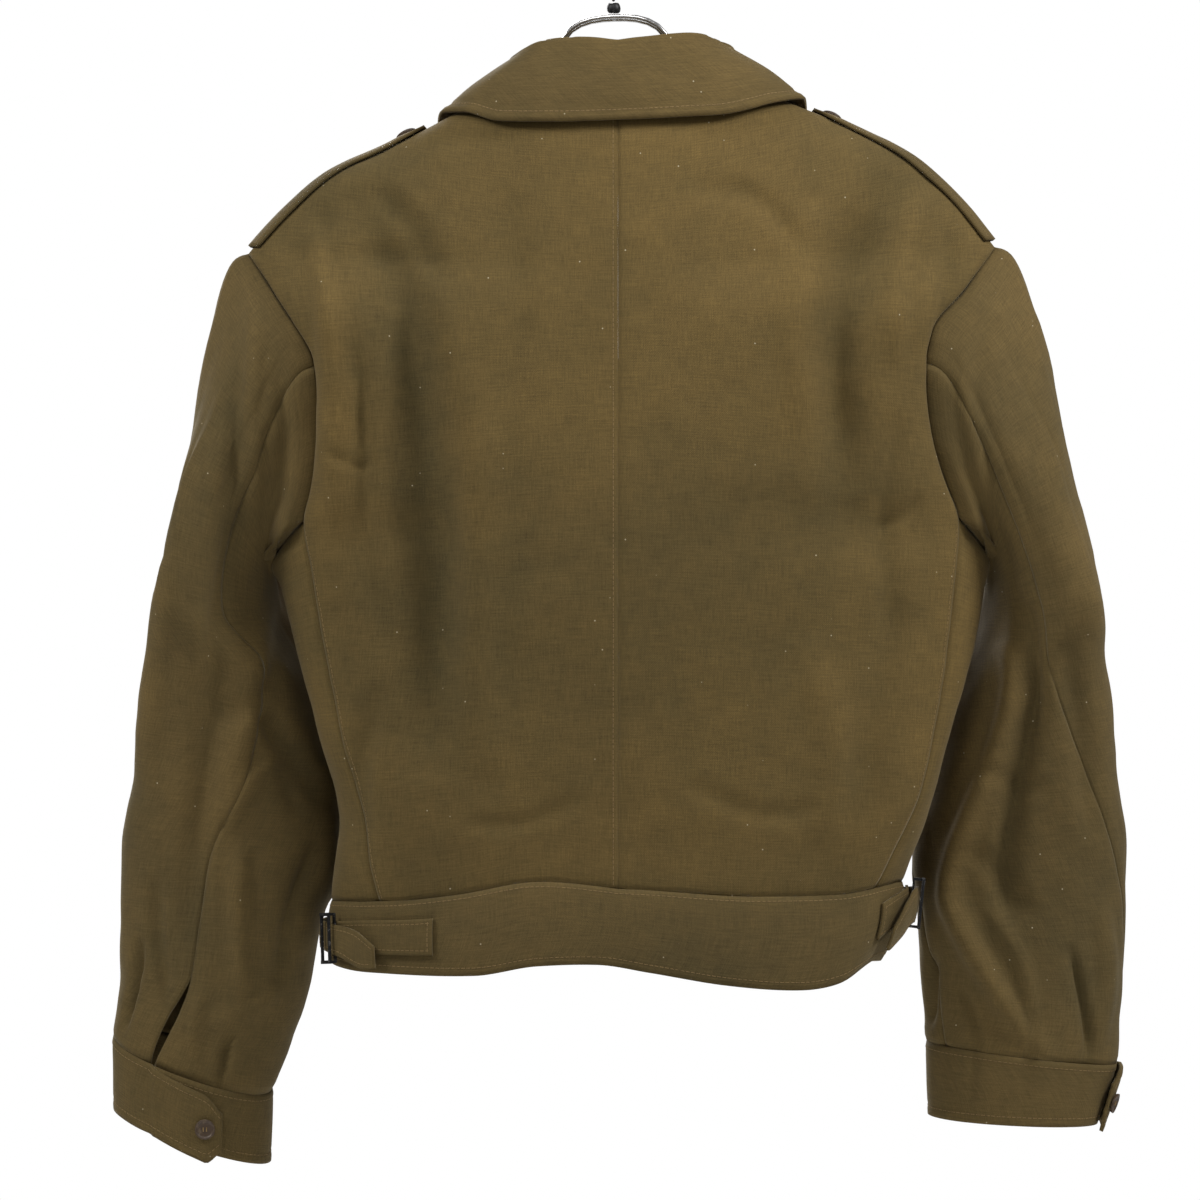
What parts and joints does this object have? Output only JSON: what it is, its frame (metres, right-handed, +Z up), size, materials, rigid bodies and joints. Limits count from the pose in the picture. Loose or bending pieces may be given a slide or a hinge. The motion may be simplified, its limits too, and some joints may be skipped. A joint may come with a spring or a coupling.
{
  "type": "ike jacket on a hanger",
  "caption": "Short waisted wool jacket with banded waist, hip straps with sliding buckles, turned-down collar and buttoned cuffs, hanging on a wire hanger.",
  "frame": {"origin": "where the hook's inner bend rests on a rail, above the middle of the neck", "axes": "+Z up, +Y out of the back of the jacket, +X to the wearer's left"},
  "size_m": [0.6441, 0.1801, 0.8086],
  "materials": {
    "back_left": "matt olive-brown wool serge",
    "back_right": "matt olive-brown wool serge",
    "buckle_left": "worn black lacquer on steel",
    "buckle_right": "worn black lacquer on steel",
    "collar": "matt olive-brown wool serge",
    "cuff_button_left": "semi-matt moulded plastic",
    "cuff_button_right": "semi-matt moulded plastic",
    "cuff_left": "matt olive-brown wool serge",
    "cuff_right": "matt olive-brown wool serge",
    "front_left": "matt olive-brown wool serge",
    "front_right": "matt olive-brown wool serge",
    "hanger_bridge": "polished chrome plate",
    "hanger_ferrule": "polished chrome plate",
    "hanger_wire": "polished chrome plate",
    "hip_patch_left": "matt olive-brown wool serge",
    "hip_patch_right": "matt olive-brown wool serge",
    "hip_strap_left": "matt olive-brown wool serge",
    "hip_strap_right": "matt olive-brown wool serge",
    "hook": "polished chrome plate",
    "lapel_left": "matt olive-brown wool serge",
    "lapel_right": "matt olive-brown wool serge",
    "shoulder_strap_left": "matt olive-brown wool serge",
    "shoulder_strap_right": "matt olive-brown wool serge",
    "side_left": "matt olive-brown wool serge",
    "side_right": "matt olive-brown wool serge",
    "strap_button_left": "semi-matt moulded plastic",
    "strap_button_right": "semi-matt moulded plastic",
    "under_sleeve_left": "matt olive-brown wool serge",
    "under_sleeve_right": "matt olive-brown wool serge",
    "upper_sleeve_left": "matt olive-brown wool serge",
    "upper_sleeve_right": "matt olive-brown wool serge",
    "waistband_back": "matt olive-brown wool serge",
    "waistband_front_left": "matt olive-brown wool serge",
    "waistband_front_right": "matt olive-brown wool serge"
  },
  "bodies": {
    "root": {"back_left": "back_left", "back_right": "back_right", "buckle_left": "buckle_left", "buckle_right": "buckle_right", "collar": "collar", "cuff_button_left": "cuff_button_left", "cuff_button_right": "cuff_button_right", "cuff_left": "cuff_left", "cuff_right": "cuff_right", "front_left": "front_left", "front_right": "front_right", "hanger_bridge": "hanger_bridge", "hanger_ferrule": "hanger_ferrule", "hanger_wire": "hanger_wire", "hip_patch_left": "hip_patch_left", "hip_patch_right": "hip_patch_right", "hip_strap_left": "hip_strap_left", "hip_strap_right": "hip_strap_right", "hook": "hook", "lapel_left": "lapel_left", "lapel_right": "lapel_right", "shoulder_strap_left": "shoulder_strap_left", "shoulder_strap_right": "shoulder_strap_right", "side_left": "side_left", "side_right": "side_right", "strap_button_left": "strap_button_left", "strap_button_right": "strap_button_right", "under_sleeve_left": "under_sleeve_left", "under_sleeve_right": "under_sleeve_right", "upper_sleeve_left": "upper_sleeve_left", "upper_sleeve_right": "upper_sleeve_right", "waistband_back": "waistband_back", "waistband_front_left": "waistband_front_left", "waistband_front_right": "waistband_front_right"}
  },
  "joints": []
}
